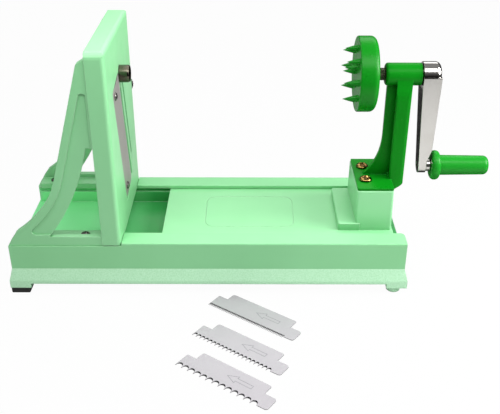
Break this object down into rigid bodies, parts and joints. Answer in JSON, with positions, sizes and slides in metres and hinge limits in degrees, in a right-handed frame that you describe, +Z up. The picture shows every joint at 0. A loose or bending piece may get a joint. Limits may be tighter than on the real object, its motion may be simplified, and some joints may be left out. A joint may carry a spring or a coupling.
{
  "type": "spiralizer",
  "caption": "Hand-cranked turning slicer: a channel base with a blade tower, a sliding carriage that turns a spiked disc, and loose comb blades.",
  "frame": {"origin": "on the table, below the middle of the overall box", "axes": "+X along the rails from the blade tower to the crank, +Z up"},
  "size_m": [0.4322, 0.2912, 0.2217],
  "materials": {
    "mint_plastic": "satin moulded, pale mint",
    "green_plastic": "glossy moulded, deep green",
    "rubber": "matt black",
    "screw_steel": "plated",
    "dark_steel": "dark polished",
    "blade_steel": "ground",
    "comb_steel": "fine satin",
    "yellow_zinc": "yellow zinc plated",
    "bush": "sintered bronze",
    "chrome": "polished"
  },
  "bodies": {
    "stand": {"base_channel": "mint_plastic", "rubber_foot_front": "rubber", "rubber_foot_back": "rubber", "blade_tower": "mint_plastic", "tower_screw_1": "screw_steel", "tower_screw_2": "screw_steel", "tower_screw_3": "screw_steel", "tower_screw_4": "screw_steel", "core_tube": "dark_steel", "tube_ring": "dark_steel", "peeling_blade": "blade_steel", "blade_screw_top": "screw_steel", "blade_screw_bottom": "screw_steel"},
    "comb_clamp": {"comb_clamp_screw": "screw_steel"},
    "carriage": {"carriage": "mint_plastic", "crank_bracket": "green_plastic", "bracket_screw_front": "yellow_zinc", "bracket_screw_back": "yellow_zinc", "shaft_bush_disc": "bush", "shaft_bush_arm": "bush"},
    "crank": {"drive_shaft": "screw_steel", "spiked_disc": "green_plastic", "disc_collar": "dark_steel", "arm_washer": "screw_steel", "crank_arm": "chrome", "knob_screw": "screw_steel"},
    "knob": {"crank_knob": "green_plastic"},
    "comb_fine": {"comb_blade_fine": "comb_steel"},
    "comb_medium": {"comb_blade_medium": "comb_steel"},
    "comb_coarse": {"comb_blade_coarse": "comb_steel"}
  },
  "joints": [
    {"name": "carriage_slide", "type": "slide", "parent": "stand", "child": "carriage", "axis": [-1, 0, 0], "range_m": [-0.008, 0.18]},
    {"name": "crank_turn", "type": "hinge", "parent": "carriage", "child": "crank", "pos_m": [0.09028, 0.07102, 0.1828], "axis": [1, 0, 0], "continuous": true},
    {"name": "knob_spin", "type": "hinge", "parent": "crank", "child": "knob", "pos_m": [0.16352, 0.07102, 0.0958], "axis": [1, 0, 0], "continuous": true},
    {"name": "comb_clamp_turn", "type": "hinge", "parent": "stand", "child": "comb_clamp", "pos_m": [-0.12217, 0.13562, 0.1468], "axis": [0, 1, 0], "range_deg": [0, 1080]},
    {"name": "comb_fine_lift", "type": "slide", "parent": "stand", "child": "comb_fine", "axis": [0, 0, 1], "range_m": [0, 0.06]},
    {"name": "comb_medium_lift", "type": "slide", "parent": "stand", "child": "comb_medium", "axis": [0, 0, 1], "range_m": [0, 0.06]},
    {"name": "comb_coarse_lift", "type": "slide", "parent": "stand", "child": "comb_coarse", "axis": [0, 0, 1], "range_m": [0, 0.06]}
  ]
}
